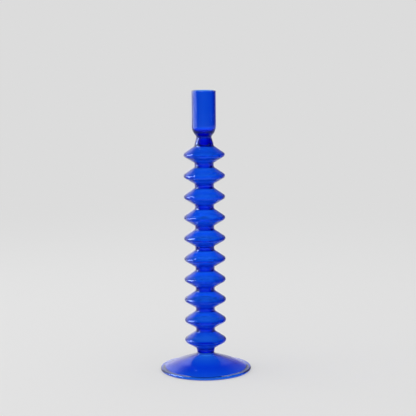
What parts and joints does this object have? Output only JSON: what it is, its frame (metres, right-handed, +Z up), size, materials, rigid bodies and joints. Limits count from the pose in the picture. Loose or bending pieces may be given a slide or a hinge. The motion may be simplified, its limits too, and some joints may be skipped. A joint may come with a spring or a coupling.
{
  "type": "glass candlestick",
  "caption": "Tall cobalt-blue glass candlestick with a cylindrical socket for a taper candle, a stem of stacked sharp-edged bulges and a low conical foot.",
  "frame": {"origin": "centre of the foot's resting ring, on the table", "axes": "+Z up along the candlestick's axis of revolution, towards the mouth of the candle cup; X and Y lie in the table plane"},
  "size_m": [0.0974, 0.0974, 0.3],
  "materials": {
    "foot_glass": "clear cobalt-blue borosilicate glass, fire-polished",
    "stem_glass": "clear cobalt-blue borosilicate glass, flame-worked",
    "cup_glass": "clear cobalt-blue borosilicate glass, fire-polished lip"
  },
  "bodies": {
    "root": {"foot": "foot_glass", "stem": "stem_glass", "candle_cup": "cup_glass"}
  },
  "joints": []
}
